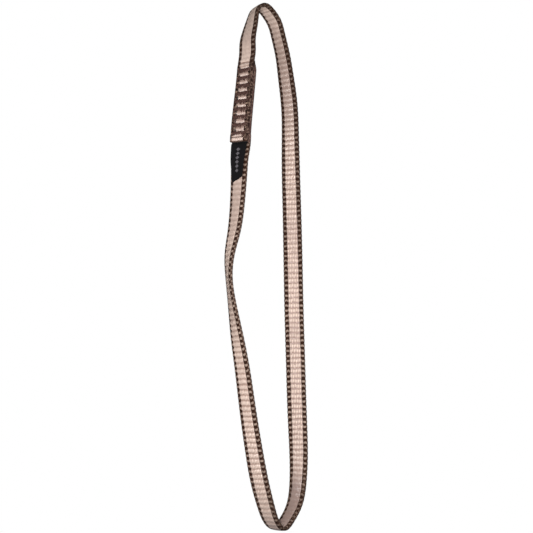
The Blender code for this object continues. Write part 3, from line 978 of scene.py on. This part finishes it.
# Zigzag across the tape: crossings from reach to reach, between an upper and a lower row of turns that
# stray, dipping into the tape at every turn and standing proud between. Two straight runs lie under it.
def tackPath(place, side, chance):
    face = layerGap(place) / 2 + loop["thickness"] - tape["tackPress"]
    turns = tacks["crossings"]
    reach = tacks["reach"]
    radius = tacks["thread"] / 2
    count = tacks["underPoints"]
    under = np.linspace(-reach, reach, count)
    across = [under, under[::-1]]
    along = [np.full(count, tacks["underGap"]), np.full(count, -tacks["underGap"])]
    out = [np.where(np.arange(count) % 2, radius, -radius)] * 2
    knots = -reach + 2 * reach * np.arange(turns + 1) / turns
    ragged = chance.uniform(0, 1, turns + 1)
    low = np.arange(turns + 1) % 2 == 1
    half = tacks["height"] / 2
    high = -tacks["topShare"] * half - tacks["topRagged"] * tacks["ragged"] * ragged
    ends = np.where(low, tacks["footShare"] * half + tacks["ragged"] * ragged, high)
    share, lift = np.array(tacks["crossing"]).T
    across.append((knots[:-1, None] * (1 - share) + knots[1:, None] * share).reshape(-1))
    along.append((ends[:-1, None] * (1 - share) + ends[1:, None] * share).reshape(-1))
    out.append(np.tile(lift, turns) + radius * tacks["proud"])
    across, along, out = (np.concatenate(part) for part in (across, along, out))
    swell = ease((np.abs(along) / mm - tape["pressFlat"]) / tape["pressEase"])
    out = out + (tape["tackPress"] + tape["pillow"]) * swell
    return tapePoint(place + along, across, side * (face + out))


# A row of short stitches, each rising over the tape and dipping into it
def seamPath(side):
    lift = np.array(label["stitchLift"])
    count = label["stitches"] * len(lift) + 1
    knots = np.linspace(-label["seamWidth"] / 2, label["seamWidth"] / 2, count)
    out = np.append(np.tile(lift, label["stitches"]), lift[0])
    face = layerGap(seamPlace) / 2 + loop["thickness"]
    return tapePoint(seamPlace, knots + label["shift"], side * (face + out))


def placeThread(name, path, thickness, material, node):
    piece = threadTube(name, path, thickness / 2, material)
    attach(piece, "loop")
    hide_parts(node)


def buildStitches(material):
    for number in range(tacks["count"]):
        for layer, side in (("needle", 1), ("bobbin", -1)):
            chance = np.random.default_rng(tacks["seedStep"] * number + side + 1)
            path = smoothPath(tackPath(tackPlaces[number], side, chance), tacks["crossingSteps"])
            node = f"bar_tack_{number + 1}_{layer}_thread"
            placeThread(f"tack{number + 1}_{layer}Thread", path, tacks["thread"], material, node)
    for layer, side in (("needle", 1), ("bobbin", -1)):
        path = smoothPath(seamPath(side), label["stitchSteps"])
        node = f"label_seam_{layer}_thread"
        placeThread(f"labelSeam_{layer}Thread", path, label["seamThread"], material, node)
    print("bar tacks and label seam sewn")


# The label's finish: black woven cloth with a grey woven column of plain lozenges. Lengths are
# millimetres on the surface, and the motif's are counted down from the hinge.
cloth = {
    "colour": (0.0042, 0.0036, 0.0042),
    "motifColour": (0.12, 0.11, 0.12),
    "weftPitch": 0.26,
    "warpPitch": 0.22,
    "grooveShade": 0.5,
    "lozengePitch": 2.4,
    "lozengeHalfWidth": 1.6,
    "lozengeRim": (0.92, 0.78),
    "motifTop": (2.3, 2.5),
    "motifFoot": (16.9, 16.7),
    "motifGrooveShade": 0.4,
    "bumpStrength": 0.6,
    "bumpDepth": 0.05 * mm,
    "roughness": 0.85,
    "gloss": 0.15,
}


def buildLabelMaterial():
    made, tree, shader = newMaterial("black label cloth")
    axes = surfaceAxes(tree)
    along, across = axes["X"], axes["Y"]
    weft = ridges(tree, calc(tree, "DIVIDE", along, cloth["weftPitch"]))
    warp = ridges(tree, calc(tree, "DIVIDE", across, cloth["warpPitch"]))
    yarns = calc(tree, "MAXIMUM", warp, weft)
    step = calc(tree, "FRACT", calc(tree, "DIVIDE", along, cloth["lozengePitch"]))
    step = calc(tree, "ABSOLUTE", calc(tree, "SUBTRACT", step, 0.5))
    aside = calc(tree, "DIVIDE", calc(tree, "ABSOLUTE", across), cloth["lozengeHalfWidth"])
    lozenge = calc(tree, "ADD", times(tree, step, 2.0), aside)
    inside = smoothBand(tree, along, *cloth["motifTop"])
    inside = times(tree, inside, smoothBand(tree, along, *cloth["motifFoot"]))
    motif = times(tree, smoothBand(tree, lozenge, *cloth["lozengeRim"]), inside)
    # painted shade: the motif dims in the grooves between the weft yarns
    motif = times(tree, motif, between(tree, weft, cloth["motifGrooveShade"], 1.0))
    colour = mixColour(tree, motif, cloth["colour"], cloth["motifColour"])
    # painted shade between the cloth's yarns
    colour = dim(tree, colour, between(tree, yarns, cloth["grooveShade"], 1.0))
    looks = {"Base Color": colour, "Roughness": cloth["roughness"], "Normal": bumpNormal(tree, cloth, yarns)}
    setInputs(tree, shader, {**looks, "Specular IOR Level": cloth["gloss"]})
    return made


# A thin closed sheet, down from between the layers and out of the mouth. It bows off the tape by bulge
# times sin(pi s^bulgePower), s the share of its free length, narrows and leans with s, curls off the
# tape towards its near corner by curl * s^curlPower, and is cut on a slant, with the near side shorter.
def buildLabel(material):
    columns = label["columns"]
    hinge = lapLength + loop["clearance"] + label["thickness"] / 2
    free = np.linspace(0, 1, label["rows"])[:, None]
    half = label["thickness"] / 2
    turn = np.linspace(0, 2 * math.pi, 2 * columns, endpoint=False)
    sidePower, facePower = label["squareness"]
    wide = np.abs(np.cos(turn)) ** sidePower * np.sign(np.cos(turn))
    thick = np.abs(np.sin(turn)) ** facePower * np.sign(np.sin(turn))
    near = (1 - wide[None, :]) / 2
    length = hinge - labelTop + label["length"] - label["slant"] * near
    place = labelTop + free * length
    past = np.clip((place - hinge) / label["length"], 0, 1)
    lift = label["bulge"] * np.sin(math.pi * past ** label["bulgePower"])
    lift = lift + label["curl"] * near * past ** label["curlPower"]
    across = wide[None, :] * label["width"] / 2 * (1 - label["taper"] * past) + label["lean"] * past
    end = roundEnd(np.minimum(free, 1 - free) * label["endRound"], label["endLeast"])
    middle = loop["thickness"] / 2 + loop["clearance"] + half
    out = layerMiddle(place) + middle + lift + thick[None, :] * half * end * label["fullness"]
    grid = tapePoint(place, across + label["shift"], out)
    flat = np.broadcast_to(wide[None, :] * label["width"] / 2, place.shape)
    piece = meshFromGrid("blackLabel", grid, [material], uv=((place - hinge) / mm, flat / mm))
    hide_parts("label_sewn_end", "label_flap")
    face = layerMiddle(np.array(hinge)) + middle
    above = tapePoint(hinge - label["bendAbove"], label["shift"], face)[0]
    below = tapePoint(hinge + label["bendBelow"], label["shift"], face)[0]
    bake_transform(piece)
    print("label hung")


buildTape([buildTapeMaterial(name, gloss) for name, gloss in weave["gloss"].items()])
buildStitches(buildThreadMaterial())
buildLabel(buildLabelMaterial())
